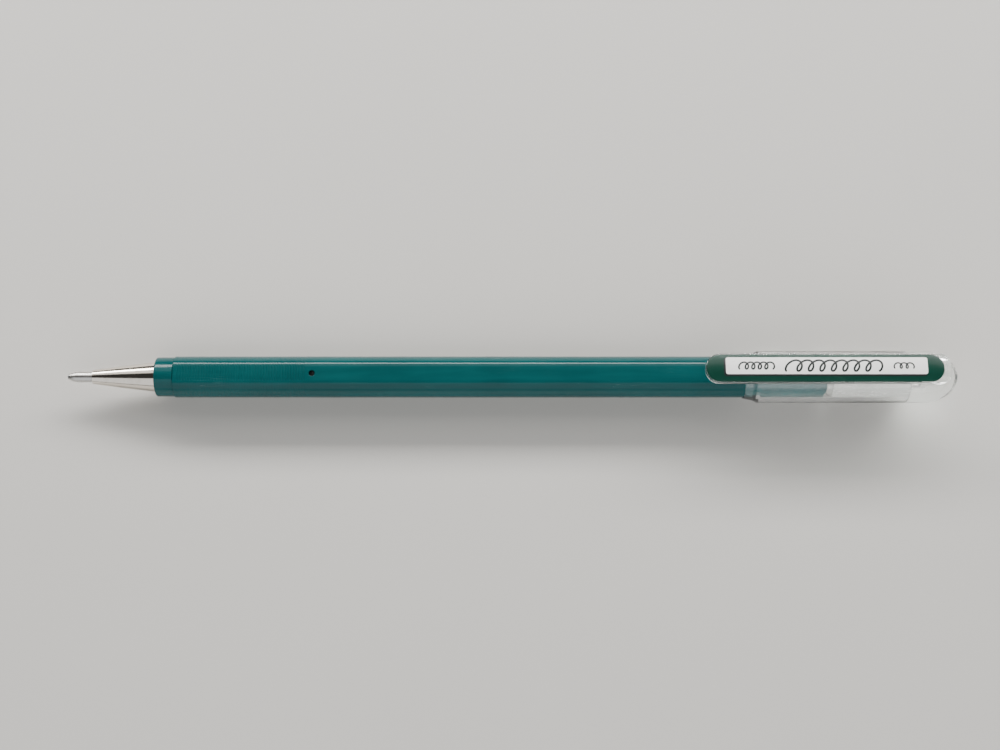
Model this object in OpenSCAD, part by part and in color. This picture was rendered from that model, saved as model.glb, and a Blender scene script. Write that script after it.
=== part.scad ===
// Capped gel pen with a metal nose cone, shown with its clear cap pushed on the back end.
// The pen lies along X with its point towards -X, its clip up (+Z), and the cap's side
// touching the ground plane. The origin is the centre of the bottom of the whole pen's box.
// Inside the modules every length along the pen is measured from the front of the ball.

/* [Whole pen] */
// Length from the ball to the top of the posted cap
posted_len = 163; // [162:0.5:164]

/* [Point] */
// Diameter of the writing ball
ball_d = 1; // [0.9:0.05:1]
// Length of bare point in front of the nose cone
point_reach = 4.7; // [4.5:0.1:5]
// Radius of the point's straight shank
shank_r = 0.98; // [0.95:0.01:1]
// Length of the rounded front of the point
point_nose = 1.95; // [1.8:0.05:2.2]

/* [Nose cone] */
// Radius at the front end
cone_front_r = 1.27; // [1.2:0.01:1.35]
// Radius at the back, where it meets the collar
cone_back_r = 2.75; // [2.65:0.01:2.8]
// Radius of the screw stub behind it
stub_r = 2.74; // [2.72:0.01:2.76]
// Length of the screw stub
stub_len = 3.5; // [3:0.1:3.6]

/* [Barrel] */
// Radius of the round barrel
barrel_r = 3.78; // [3.74:0.01:3.8]
// Distance from the axis to the long flat under the clip
flat_height = 3.39; // [3.36:0.01:3.45]
// Radius of the smooth collar at the front
collar_r = 3.6; // [3.58:0.01:3.62]
// Where the collar starts
collar_start = 16.4; // [16.4:0.1:16.5]
// Length of the collar
collar_len = 3.4; // [3.2:0.1:3.4]
// Where the barrel ends
barrel_end = 138.1; // [137.8:0.1:138.2]
// Radius of the space for the refill
bore_r = 2.95; // [2.93:0.01:2.97]
// Number of grip grooves
groove_count = 48; // [20:1:50]
// Distance from one grip groove to the next
groove_pitch = 0.49; // [0.46:0.01:0.5]
// Depth of the grip grooves
groove_depth = 0.09; // [0.05:0.01:0.12]
// Diameter of the air hole behind the grip
vent_d = 1.08; // [0.9:0.02:1.2]

/* [Cap] */
// Outer radius of the cap
cap_r = 4.75; // [4.7:0.01:4.8]
// Where the cap's mouth is while it is posted
cap_mouth = 123.7; // [123.5:0.1:124]
// Length of the rounded end
dome_len = 6.5; // [6:0.1:7]
// Radial gap between the cap and the barrel
cap_gap = 0.05; // [0.03:0.01:0.08]
// Inner radius of the sealing sleeve
sleeve_bore_r = 3; // [2.95:0.01:3.05]

/* [Clip] */
// Length of the clip
clip_len = 44.7; // [44:0.1:45]
// Width of the clip
clip_w = 5.3; // [5:0.05:5.4]
// Height of the clip's rim above the pen's axis
clip_top = 7.4; // [7.3:0.05:7.5]
// Thickness of the clip's arm
clip_t = 1.5; // [1.4:0.05:1.6]
// Width of the clear rim that shows round the badge
rim_w = 0.16; // [0.14:0.01:0.3]
// How far the badge bulges above the rim
badge_crown = 0.2; // [0.1:0.05:0.25]

/* [Refill] */
// Outer radius of the ink tube
tube_r = 2.7; // [2.65:0.01:2.7]
// Wall of the ink tube
tube_wall = 0.4; // [0.35:0.01:0.4]
// Where the ink ends and the follower grease starts
ink_end = 104; // [60:1:110]

/* [Hidden] */
$fn = 96;

axis_height = cap_r;
past = 1;                 // how far a cutter reaches past what it cuts
ball_r = ball_d / 2;
ball_play = 0.03;         // gap round the ball in its socket
socket_r = ball_r + ball_play;
lip_at = 0.25;            // front edge of the point's lip
lip_r = 0.5;
seat_bore_r = 0.3;        // ink channel behind the ball
seat_end = 2.2;
spring_bore_r = 0.62;
shank_end = 12.8;
spring_coil_r = 0.42;
spring_wire_r = 0.07;
spring_turns = 9;
spring_end = 9;
spring_finger = 1.6;      // straight front finger that presses on the ball

cone_start = point_reach;
flange_r = 2.95;
recess_r = 3;
recess_depth = 0.5;
flange_at = collar_start;
stub_start = collar_start + recess_depth;
stub_end = stub_start + stub_len;
stub_bore_r = 2.2;
point_gap = 0.06;
throat_end = 7;
cone_bulge = 0.05;        // how far the cone's side stands out from a straight line
cone_steps = 12;

barrel_start = collar_start + collar_len;
front_bore_r = stub_r + 0.05;
front_bore_end = stub_end + 1.2;
collar_round = 0.35;
groove_start = barrel_start + 0.6;
groove_w = groove_pitch / 2;
groove_end = groove_start + groove_count * groove_pitch;
vent_at = groove_end + 1.2;

plug_head_r = 3.2;
plug_head_len = 0.6;
plug_stem_len = 6;
plug_fit = 0.01;

cap_bore_r = barrel_r + cap_gap;
dome_at = posted_len - dome_len;
lip_tip_r = 4;
lip_back_r = 4.28;
lip_len = 1.6;
shoulder_len = 1;
dome_steps = 24;
sleeve_r = cap_bore_r - 0.03;
sleeve_start = 139.6;
sleeve_lead = 2.9;
sleeve_lead_r = 3.62;
sleeve_end = 153.7;
tip_pocket_r = 1.6;
tip_pocket_end = 157.2;

clip_end = posted_len - 2.3;
clip_start = clip_end - clip_len;
clip_r = clip_w / 2;
clip_under = clip_top - clip_t;
clip_seat_gap = 0.04;
root_start = 154.8;
root_fillet = 0.8;
root_foot = 3.4;
crown_drop_len = 2.4;     // the rim falls towards the cap over this length
crown_drop_end = 3.9;
crown_steps = 10;
nub_at = clip_start + 2.6;
nub_r = 1.3;
nub_reach = 0.9;
badge_end = clip_end - 2;
badge_start = clip_start + rim_w;
badge_r = clip_r - rim_w;
badge_t = 0.8;
badge_edge = clip_top - 0.15;
badge_top = clip_top + badge_crown;
badge_rise = badge_top - badge_edge;
badge_curve_r = (badge_r * badge_r + badge_rise * badge_rise) / (2 * badge_rise);

tube_bore_r = tube_r - tube_wall;
holder_start = 9.4;
holder_front_r = 1.2;
holder_back_r = 2.08;
holder_flange_r = 2.6;
holder_flange_len = 0.8;
holder_plug_r = tube_bore_r - 0.02;
holder_plug_len = 4.8;
holder_bore_r = 0.6;
chamber_r = 0.75;
chamber_start = 14;
chamber_len = 2.6;
check_ball_r = 0.6;
check_ball_at = 15.3;
tube_start = stub_end + holder_flange_len;
tube_end = 129;
ink_start = tube_start + holder_plug_len;
ink_fit = 0.01;
follower_len = 8;

// ---- helpers: s is the distance from the front of the ball --------------------------

// puts a shape made along X from the ball's front into the pen's frame
module on_pen() translate([-posted_len / 2, 0, axis_height]) children();

// a solid of revolution about the pen's axis from points [radius, s]
module turned(points) rotate([0, 90, 0]) rotate_extrude() polygon(points);

// a plain round bar along the axis
module bar(r, from, to) translate([from, 0, 0]) rotate([0, 90, 0]) cylinder(r = r, h = to - from);

// the barrel's cross-section, a circle with one flat, shrunk by depth
module barrel_stretch(depth, from, to)
    difference() {
        bar(barrel_r - depth, from, to);
        translate([from - past, -barrel_r, flat_height - depth])
            cube([to - from + 2 * past, 2 * barrel_r, barrel_r]);
    }

// an upright block with a stadium outline: two half circles joined by straight sides
module stadium(from, to, r, low, high)
    translate([0, 0, low]) {
        for (x = [from + r, to - r]) translate([x, 0, 0]) cylinder(r = r, h = high - low);
        translate([from + r, -r, 0]) cube([to - from - 2 * r, 2 * r, high - low]);
    }

// points [radius, s] on a quarter ellipse from the side (t = 0) to the apex (t = 1)
function dome_point(t, r, at, len) = [r * cos(90 * t), at + len * sin(90 * t)];
function dome(r, at, len, steps) = [for (i = [0:steps]) dome_point(i / steps, r, at, len)];

// points [radius, s] along the nose cone's side, a line with a slight bulge
function cone_point(t) =
    [cone_front_r + (cone_back_r - cone_front_r) * t + cone_bulge * sin(180 * t),
     cone_start + (flange_at - cone_start) * t];

// points [radius, s] along the rounded front of the point
function nose_point(t) =
    [lip_r + (shank_r - lip_r) * sin(90 * t), lip_at + (point_nose - lip_at) * t];

// ---- the barrel and what is fixed to it ---------------------------------------------

module barrel() color([0.02, 0.34, 0.35]) on_pen()
    difference() {
        union() {
            turned([[0, collar_start], [collar_r - collar_round, collar_start],
                    [collar_r - 0.1, collar_start + 0.1], [collar_r, collar_start + collar_round],
                    [collar_r, barrel_start], [0, barrel_start]]);
            barrel_stretch(0, barrel_start, groove_start);
            barrel_stretch(groove_depth, groove_start, groove_end);
            for (i = [0:groove_count - 1])
                barrel_stretch(0, groove_start + i * groove_pitch + groove_w,
                               groove_start + (i + 1) * groove_pitch);
            barrel_stretch(0, groove_end, barrel_end);
        }
        bar(recess_r, collar_start - past, collar_start + recess_depth);
        bar(front_bore_r, collar_start, front_bore_end);
        bar(bore_r, front_bore_end, barrel_end + past);
        translate([vent_at, 0, 0]) cylinder(d = vent_d, h = barrel_r + past);
    }

module tail_plug() color([0.03, 0.3, 0.31]) on_pen()
    turned([[0, barrel_end - plug_stem_len], [bore_r - plug_fit, barrel_end - plug_stem_len],
            [bore_r - plug_fit, barrel_end], [plug_head_r, barrel_end],
            [plug_head_r, barrel_end + plug_head_len / 2],
            [plug_head_r - plug_head_len / 2, barrel_end + plug_head_len],
            [0, barrel_end + plug_head_len]]);

// ---- the nose cone ------------------------------------------------------------------

module nose_cone() color([0.85, 0.83, 0.78]) on_pen()
    difference() {
        union() {
            turned(concat([[0, cone_start]], [for (i = [0:cone_steps]) cone_point(i / cone_steps)],
                          [[0, flange_at]]));
            bar(flange_r, flange_at, stub_start);
            bar(stub_r, stub_start, stub_end);
        }
        bar(shank_r + point_gap, cone_start - past, throat_end);
        turned([[0, throat_end], [shank_r + point_gap, throat_end],
                [stub_bore_r, stub_start], [0, stub_start]]);
        bar(stub_bore_r, stub_start, stub_end + past);
    }

// ---- the refill ---------------------------------------------------------------------

module point_shank() color([0.75, 0.75, 0.73]) on_pen()
    difference() {
        turned(concat([[0, lip_at]], [for (i = [0:8]) nose_point(i / 8)],
                      [[shank_r, shank_end], [0, shank_end]]));
        translate([ball_r, 0, 0]) sphere(r = socket_r);
        bar(seat_bore_r, ball_r, seat_end + past);
        bar(spring_bore_r, seat_end, shank_end + past);
    }

module writing_ball() color([0.6, 0.6, 0.62]) on_pen()
    translate([ball_r, 0, 0]) sphere(r = ball_r);

// the spring's centre line: a straight finger along the axis, then turns that open out
spring_start = 2 * ball_r + 2 * ball_play;
spring_coil_start = spring_start + spring_finger;
spring_steps = 14;                          // rings in each turn
spring_rings = spring_turns * spring_steps;
spring_sides = 8;
function spring_angle(i) = 360 * i / spring_steps;
function spring_out(i) = spring_coil_r * min(1, i / spring_steps);
function spring_point(i) = i < 0
    ? [spring_coil_start + spring_finger * i / 2, 0, 0]
    : [spring_coil_start + (spring_end - spring_coil_start) * i / spring_rings,
       spring_out(i) * cos(spring_angle(i)), spring_out(i) * sin(spring_angle(i))];

// ring i of the wire: a small circle square to the centre line
function unit(v) = v / norm(v);
function spring_turning(i) = i <= 0 ? [0, 0, 1] : [0, -sin(spring_angle(i)), cos(spring_angle(i))];
function spring_ring(i) =
    let (along = unit(spring_point(i + 1) - spring_point(i - 1)),
         side = unit(cross(along, spring_turning(i))),
         up = cross(along, side))
    [for (k = [0:spring_sides - 1])
        spring_point(i) + spring_wire_r * (cos(360 * k / spring_sides) * side
                                           + sin(360 * k / spring_sides) * up)];

module ball_spring() color([0.7, 0.7, 0.7]) on_pen()
    let (first = -2, last = spring_rings,
         points = [for (i = [first:last]) each spring_ring(i)],
         n = spring_sides, rows = last - first,
         sides = [for (j = [0:rows - 1], k = [0:n - 1])
                  [j * n + k, (j + 1) * n + k, (j + 1) * n + (k + 1) % n, j * n + (k + 1) % n]],
         ends = [[for (k = [0:n - 1]) k], [for (k = [n - 1:-1:0]) rows * n + k]])
    polyhedron(points, concat(sides, ends));

module point_holder() color([0.92, 0.92, 0.9]) on_pen()
    difference() {
        turned([[0, holder_start], [holder_front_r, holder_start],
                [holder_back_r, stub_start], [holder_back_r, stub_end],
                [holder_flange_r, stub_end], [holder_flange_r, tube_start],
                [holder_plug_r, tube_start], [holder_plug_r, ink_start], [0, ink_start]]);
        bar(shank_r, holder_start - past, shank_end);
        bar(holder_bore_r, holder_start, ink_start + past);
        bar(chamber_r, chamber_start, chamber_start + chamber_len);
    }

module check_ball() color([0.8, 0.8, 0.8]) on_pen()
    translate([check_ball_at, 0, 0]) sphere(r = check_ball_r);

module ink_tube() color([0.88, 0.9, 0.9, 0.6]) on_pen()
    difference() {
        bar(tube_r, tube_start, tube_end);
        bar(tube_bore_r, tube_start - past, tube_end + past);
    }

module gel_ink() color([0, 0.3, 0.28]) on_pen()
    bar(tube_bore_r - ink_fit, ink_start, ink_end);

module ink_follower() color([0.9, 0.88, 0.75]) on_pen()
    bar(tube_bore_r - ink_fit, ink_end, ink_end + follower_len);

// ---- the cap ------------------------------------------------------------------------

// the cap's outer shape as one solid, also used to shape the clip's foot
module cap_outside(extra = 0)
    turned(concat([[0, cap_mouth], [lip_tip_r + extra, cap_mouth],
                   [lip_back_r + extra, cap_mouth + lip_len],
                   [cap_r + extra, cap_mouth + lip_len + shoulder_len]],
                  dome(cap_r + extra, dome_at, dome_len + extra, dome_steps)));

module cap_shell() color([0.85, 0.9, 0.88, 0.35]) on_pen()
    difference() {
        cap_outside();
        bar(cap_bore_r, cap_mouth - past, sleeve_end);
        bar(tip_pocket_r, sleeve_end - past, tip_pocket_end);
    }

module cap_sleeve() color([0.93, 0.92, 0.88]) on_pen()
    difference() {
        bar(sleeve_r, sleeve_start, sleeve_end);
        turned([[0, sleeve_start], [sleeve_lead_r, sleeve_start],
                [sleeve_bore_r, sleeve_start + sleeve_lead], [0, sleeve_start + sleeve_lead]]);
        bar(sleeve_bore_r, sleeve_start + sleeve_lead - past / 2, sleeve_end + past);
    }

// ---- the clip -----------------------------------------------------------------------

// side view of the clip, [s, height]: the arm, its rounded fall to the cap, and its foot
function crown_point(t) = [clip_end - crown_drop_len * (1 - sin(90 * t)),
                           crown_drop_end + (clip_top - crown_drop_end) * cos(90 * t)];
function fillet_point(t) = [root_start - root_fillet * (1 - sin(90 * t)),
                            clip_under - root_fillet * (1 - cos(90 * t))];

module clip_side()
    polygon(concat([[clip_start - past, clip_under], [clip_start - past, clip_top]],
                   [for (i = [0:crown_steps]) crown_point(i / crown_steps)],
                   [[clip_end, root_foot], [root_start, root_foot]],
                   [for (i = [4:-1:0]) fillet_point(i / 4)]));

module clip_arm() color([0.8, 0.88, 0.86, 0.4]) on_pen()
    difference() {
        union() {
            intersection() {
                stadium(clip_start, clip_end, clip_r, root_foot, clip_top + past);
                translate([0, clip_w, 0]) rotate([90, 0, 0]) linear_extrude(2 * clip_w) clip_side();
            }
            translate([nub_at, 0, clip_under]) intersection() {
                translate([0, 0, nub_r - nub_reach]) sphere(r = nub_r);
                translate([-nub_r, -nub_r, -nub_reach - past]) cube([2 * nub_r, 2 * nub_r, nub_reach + past]);
            }
        }
        cap_outside(clip_seat_gap);
        stadium(badge_start, badge_end, badge_r, badge_edge - badge_t, clip_top + 2 * past);
    }

module clip_badge() color([0.06, 0.25, 0.2]) on_pen()
    intersection() {
        stadium(badge_start, badge_end, badge_r, badge_edge - badge_t, badge_top + past);
        union() {
            translate([0, 0, badge_top - badge_curve_r])
                bar(badge_curve_r, badge_start + badge_r, badge_end - badge_r);
            for (x = [badge_start + badge_r, badge_end - badge_r])
                translate([x, 0, badge_top - badge_curve_r]) sphere(r = badge_curve_r);
        }
    }

barrel();
tail_plug();
nose_cone();
point_shank();
writing_ball();
ball_spring();
point_holder();
check_ball();
ink_tube();
gel_ink();
ink_follower();
cap_shell();
cap_sleeve();
clip_arm();
clip_badge();
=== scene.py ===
# %% [markdown]
# # A capped gel pen
# The pen lies with its clear cap pushed on the back end. Its working model is already made: the
# script loads it as a fixed frame and builds the finer surfaces and the finishes around it.
# Blender works in metres, and a pen is easier to think about in millimetres from its point, so
# every shape below is worked out in "pen millimetres": how far along from the front of the ball,
# how far to the side, and how high above the axis. One function turns those into the frame.

# %% Load the working model
import math

import bmesh
import bpy
import numpy as np
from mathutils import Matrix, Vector


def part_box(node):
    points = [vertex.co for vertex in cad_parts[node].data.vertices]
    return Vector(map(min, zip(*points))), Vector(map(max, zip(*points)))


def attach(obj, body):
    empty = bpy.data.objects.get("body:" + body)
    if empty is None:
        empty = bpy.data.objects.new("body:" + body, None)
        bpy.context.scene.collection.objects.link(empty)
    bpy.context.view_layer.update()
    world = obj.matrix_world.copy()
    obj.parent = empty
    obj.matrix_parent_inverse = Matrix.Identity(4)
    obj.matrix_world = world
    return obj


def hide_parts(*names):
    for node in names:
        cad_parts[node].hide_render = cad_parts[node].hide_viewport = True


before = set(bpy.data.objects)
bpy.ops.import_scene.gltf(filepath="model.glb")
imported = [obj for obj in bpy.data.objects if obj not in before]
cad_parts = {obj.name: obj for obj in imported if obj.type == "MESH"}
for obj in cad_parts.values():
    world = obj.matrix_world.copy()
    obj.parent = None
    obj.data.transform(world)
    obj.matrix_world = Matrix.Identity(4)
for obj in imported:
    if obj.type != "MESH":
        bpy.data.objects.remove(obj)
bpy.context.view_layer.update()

# %% [markdown]
# ## Sizes
# The frame says where each part is, so most sizes are read from it. The few that a box can't
# give, such as how deep the long flat is cut, are named here.

# %% Read the sizes
MM = 0.001
cap_low, cap_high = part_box("cap_shell")
tip_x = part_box("writing_ball")[0].x
axis_z = (cap_low.z + cap_high.z) / 2


def along(x):
    """Distance of a frame x from the front of the ball, in millimetres."""
    return (x - tip_x) / MM


def span(node):
    """Where a part starts and ends along the pen, in millimetres."""
    low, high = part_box(node)
    return along(low.x), along(high.x)


def half_width(node):
    """Half of a part's size across the pen, in millimetres."""
    low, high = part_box(node)
    return (high.y - low.y) / 2 / MM


def height(z):
    """Height of a frame z above the pen's axis, in millimetres."""
    return (z - axis_z) / MM


def in_frame(points):
    """Pen millimetres [along, side, up] to frame metres."""
    return np.asarray(points, float) * MM + np.array([tip_x, 0, axis_z])


collar_start, barrel_end = span("barrel")
barrel_r = half_width("barrel")
collar_r = height(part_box("barrel")[1].z)
flat_height = 3.39
collar_end = collar_start + 3.4
bore_r = 2.95
groove_start = collar_end + 0.6
groove_pitch = 0.49
groove_count = 48
groove_end = groove_start + groove_count * groove_pitch
vent_at = groove_end + 1.2
vent_r = 0.54
cap_mouth, cap_top = span("cap_shell")
cap_r = half_width("cap_shell")
dome_len = 6.5
dome_at = cap_top - dome_len
cap_bore_r = barrel_r + 0.05
sleeve_start, sleeve_end = span("cap_sleeve")
clip_start, clip_end = span("clip_arm")
clip_r = half_width("clip_arm")
badge_start, badge_end = span("clip_badge")
badge_r = half_width("clip_badge")
badge_low = height(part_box("clip_badge")[0].z)
badge_top = height(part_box("clip_badge")[1].z)
clip_top = badge_top - 0.2
clip_under = clip_top - 1.5
print(f"barrel {collar_start:.1f} to {barrel_end:.1f} mm, radius {barrel_r:.2f}, collar {collar_r:.2f}")
print(f"cap {cap_mouth:.1f} to {cap_top:.1f} mm, clip {clip_start:.1f} to {clip_end:.1f} mm")

# %% [markdown]
# ## Surfaces from grids
# A turned part is a profile swept round the axis, and a moulded plate is an outline shrunk
# towards its middle line. Both are grids of points, so both can share the code that joins the
# points with faces. Modelling by hand with Spin would give the same shapes, but a formula keeps
# every size readable. Welding closes the seams and poles, and the normals are then turned out.

# %% Faces of a grid


def grid_faces(rows, columns, wrap_rows=False, wrap_columns=True):
    """Four-sided faces between neighbouring points of a grid that is stored row by row."""
    i = np.arange(rows if wrap_rows else rows - 1)[:, None]
    j = np.arange(columns if wrap_columns else columns - 1)[None, :]
    next_i, next_j = (i + 1) % rows, (j + 1) % columns
    corners = [i * columns + j, i * columns + next_j, next_i * columns + next_j, next_i * columns + j]
    return np.stack(np.broadcast_arrays(*corners), axis=-1)


print("a grid of 2 rows and 3 columns, wrapped round, has", grid_faces(2, 3).size // 4, "faces")

# %% Making a piece
WELD = 1e-7
SLIVER = 1e-8
finish_of = {}


def make_piece(name, points, faces, body, finish, crease=34.0, replaces=()):
    """A closed, smooth-shaded piece. Edges sharper than crease degrees stay sharp."""
    mesh = bpy.data.meshes.new(name)
    mesh.from_pydata(in_frame(points).tolist(), [], np.asarray(faces).tolist())
    work = bmesh.new()
    work.from_mesh(mesh)
    bmesh.ops.remove_doubles(work, verts=work.verts, dist=WELD)
    bmesh.ops.dissolve_degenerate(work, edges=work.edges, dist=SLIVER)
    stray = [edge for edge in work.edges if not edge.link_faces]
    bmesh.ops.delete(work, geom=stray, context="EDGES")
    bmesh.ops.recalc_face_normals(work, faces=work.faces)
    open_edges = sum(1 for edge in work.edges if not edge.is_manifold)
    work.to_mesh(mesh)
    work.free()
    mesh.shade_smooth()
    mesh.set_sharp_from_angle(angle=math.radians(crease))
    piece = bpy.data.objects.new(name, mesh)
    bpy.context.scene.collection.objects.link(piece)
    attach(piece, body)
    if replaces:
        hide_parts(*replaces)
    finish_of[piece] = finish
    print(f"{name}: {len(mesh.polygons)} faces, {open_edges} open edges")


def grid_piece(name, grid, body, finish, wrap_rows=False, **more):
    """A closed piece whose surface is one grid of points, [row, column, (along, side, up)]."""
    faces = grid_faces(*grid.shape[:2], wrap_rows=wrap_rows).reshape(-1, 4)
    make_piece(name, grid.reshape(-1, 3), faces, body, finish, **more)


# %% [markdown]
# Profiles are lists of points (along, radius). Straight runs need only their ends, so the two
# helpers below write the curves between them: one draws part of a circle, and the other rounds
# the corners of a plain outline, as a Bevel modifier would, but with its own radius for each.

# %% Profiles and turned parts


def arc(centre, radius, start, end, steps=6):
    """Points (along, radius) on part of a circle, by angle in degrees from the axis direction."""
    turn = np.radians(np.linspace(start, end, steps))
    return np.stack([centre[0] + radius * np.cos(turn), centre[1] + radius * np.sin(turn)], axis=1)


def rounded(corners, radii, steps=5):
    """A profile through corners (along, radius), each rounded by its own radius.
    A corner's arc touches both of its sides, so its centre lies on the line that halves the corner."""
    corners = np.asarray(corners, float)
    out = [corners[:1]]
    for before, corner, after, r in zip(corners[:-2], corners[1:-1], corners[2:], radii[1:-1]):
        a = (before - corner) / np.linalg.norm(before - corner)
        b = (after - corner) / np.linalg.norm(after - corner)
        half = math.acos(np.clip(a @ b, -1, 1)) / 2
        if r <= 0 or half > math.radians(89):
            out.append(corner[None])
            continue
        reach = r / math.tan(half)
        middle = corner + (a + b) / np.linalg.norm(a + b) * r / math.sin(half)
        first, last = corner + a * reach - middle, corner + b * reach - middle
        swing = math.pi - 2 * half
        t = np.linspace(0, 1, steps + 1)[:, None]
        swept = np.sin((1 - t) * swing) * first + np.sin(t * swing) * last
        out.append(middle + swept / math.sin(swing))
    out.append(corners[-1:])
    return np.concatenate(out)


def turned(profile, segments=128):
    """Points of a profile (along, radius) carried round the pen's axis: side = r sin, up = r cos."""
    turn = np.linspace(0, 2 * np.pi, segments, endpoint=False)[None, :]
    s, r = profile[:, 0][:, None], profile[:, 1][:, None]
    return np.stack(np.broadcast_arrays(s, r * np.sin(turn), r * np.cos(turn)), axis=-1)


def turned_piece(name, profile, body, slot, segments=128, closed_loop=False, **more):
    """A turned part. A hollow one has a profile that comes back to its own start."""
    grid_piece(name, turned(profile, segments), body, slot, wrap_rows=closed_loop, **more)


print("a quarter circle of 6 points ends at", arc((0, 0), 1, 0, 90)[-1].round(3))


# %% [markdown]
# ## The barrel
# The barrel is a round tube with one long flat that lines up with the clip. Cutting a flat with
# a boolean leaves a knife edge, and the real moulding has a small radius there that catches a
# thin line of light. So the outline is written as a smooth minimum: at each angle it takes the
# smaller of the circle's radius and the distance to the flat, and blends the two near the edge.

# %% Barrel outline


def barrel_outline(turn):
    """Radius at each angle: the p-norm minimum of the circle and the flat, h / cos(angle).
    The higher the norm's power, the sharper the edge. Past reach the flat is never met."""
    power, reach, never = 36, 1.3, 1e3
    to_flat = np.where(np.abs(turn) < reach, flat_height / np.maximum(np.cos(turn), 0.2), never)
    return (barrel_r ** -power + to_flat ** -power) ** (-1 / power)


edge_turn = math.acos(flat_height / barrel_r)
around = np.radians(np.arange(-180, 180, 2.25))
near_edge = np.linspace(-0.15, 0.15, 17)
turns = np.concatenate([around, edge_turn + near_edge, -edge_turn + near_edge])
turns = np.unique(np.round(turns, 6))
outline = barrel_outline(turns)
print(f"{len(turns)} points round the barrel, flat {2 * flat_height * math.tan(edge_turn):.2f} mm wide")

# %% [markdown]
# The grip is 48 narrow rings cut into the same outline. A ring's depth along the pen is a raised
# cosine, squared so that the lands between the rings stay wide. The rings are cut to their full
# depth on the flat and are shallower on the round side, where the real ones hardly show.

# %% Grip rings


def smooth_step(x, low, high):
    """0 before low, 1 after high, with an easy start and end between."""
    t = np.clip((x - low) / (high - low), 0, 1)
    return t * t * (3 - 2 * t)


ring_depth, points_per_ring = 0.09, 8
groove_s = groove_start + np.arange(groove_count * points_per_ring) * groove_pitch / points_per_ring
ring_wave = 0.5 - 0.5 * np.cos(2 * np.pi * (groove_s - groove_start) / groove_pitch)
groove_depth = ring_depth * ring_wave ** 2
ring_share = 1 - 0.7 * smooth_step(np.abs(turns), edge_turn - 0.12, edge_turn - 0.02)
print(f"{groove_count} rings from {groove_start:.1f} to {groove_end:.1f} mm, "
      f"{ring_share.min():.0%} of their depth on the round side")

# %% [markdown]
# The barrel's rows run from the collar to the tail along the outside and back along the bore.
# Each row has a round radius, and a share of the flatted outline, which is 0 on the collar and
# in the bore. The air hole is a window left out of both walls, filled with a patch whose
# square rim turns into a circle and goes down through the wall.

# %% Barrel rows


def row_block(s, radius=0.0, share=0.0, drop=0.0):
    """Rows of the barrel grid: [along, round radius, share of the outline, depth below it]."""
    s = np.atleast_1d(np.asarray(s, float))
    return np.stack(np.broadcast_arrays(s, radius, share, drop), axis=-1).astype(float)


collar_round = 0.35
recess_r, recess_end = 3.0, collar_start + 0.5
front_bore_r, front_bore_end = 2.79, collar_start + 5.2
collar_edge = arc((collar_start + collar_round, collar_r - collar_round), collar_round, 180, 90, 9)
window_half = 0.9
window_s = vent_at + np.linspace(-window_half, window_half, 9)
tail_turn = np.radians(np.linspace(0, 90, 6))
tail_round = 0.2
blocks = {
    "recess": row_block([recess_end, collar_start + 0.05], recess_r),
    "collar front": row_block([collar_start], recess_r + 0.05),
    "collar edge": np.concatenate([row_block(s, r) for s, r in collar_edge]),
    "collar": row_block([collar_end - 0.25, collar_end - 0.1], collar_r),
    "collar back": row_block([collar_end - 0.03, collar_end], [collar_r - 0.02, collar_r - 0.1]),
    "step": row_block(collar_end + np.array([0, 0.03, 0.09, 0.2]), share=1,
                      drop=[0.16, 0.07, 0.015, 0]),
    "grip": row_block(groove_s, share=1, drop=groove_depth),
    "before hole": row_block([groove_end, vent_at - window_half - 0.1], share=1),
    "hole": row_block(window_s, share=1),
    "shaft": row_block(np.linspace(window_s[-1] + 0.3, barrel_end - tail_round - 0.2, 24), share=1),
    "tail": row_block(barrel_end - tail_round * (1 - np.sin(tail_turn)), share=1,
                      drop=tail_round * (1 - np.cos(tail_turn))),
    "tail face": row_block([barrel_end], bore_r + 0.02),
    "bore": row_block([barrel_end - 0.05, window_s[-1] + 0.5], bore_r),
    "bore hole": row_block(window_s[::-1], bore_r),
    "bore front": row_block([window_s[0] - 0.5, front_bore_end], bore_r),
    "screw bore": row_block([front_bore_end, recess_end], front_bore_r),
}
first_row = dict(zip(blocks, np.cumsum([0] + [len(b) for b in blocks.values()])))
rows = np.concatenate(list(blocks.values()))
row_s, row_r, row_share, row_drop = (column[:, None] for column in rows.T)
in_grip = (row_s > groove_start) & (row_s < groove_end)
barrel_radius = row_r + row_share * (outline - row_drop * np.where(in_grip, ring_share, 1))
barrel_grid = np.stack(np.broadcast_arrays(
    row_s, barrel_radius * np.sin(turns), barrel_radius * np.cos(turns)), axis=-1)
print("barrel grid:", barrel_grid.shape[:2])

# %% The air hole and the finished barrel
columns = len(turns)
window_turn = math.radians(13.5)
left = int(np.argmin(np.abs(turns + window_turn)))
right = int(np.argmin(np.abs(turns - window_turn)))
cells = len(window_s) - 1


def rim(row_of):
    """Grid numbers of the points round a window, in one direction, by rows then columns."""
    top = [(row_of(0), c) for c in range(left, right)]
    side = [(row_of(k), right) for k in range(cells)]
    bottom = [(row_of(cells), c) for c in range(right, left, -1)]
    back = [(row_of(k), left) for k in range(cells, 0, -1)]
    return np.array([r * columns + c for r, c in top + side + bottom + back])


outer_rim = rim(lambda k: first_row["hole"] + k)
inner_rim = rim(lambda k: first_row["bore hole"] + cells - k)
barrel_points = barrel_grid.reshape(-1, 3)
face_grid = grid_faces(len(rows), columns, wrap_rows=True)
keep = np.ones(face_grid.shape[:2], bool)
keep[first_row["hole"]:first_row["hole"] + cells, left:right] = False
keep[first_row["bore hole"]:first_row["bore hole"] + cells, left:right] = False


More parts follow.
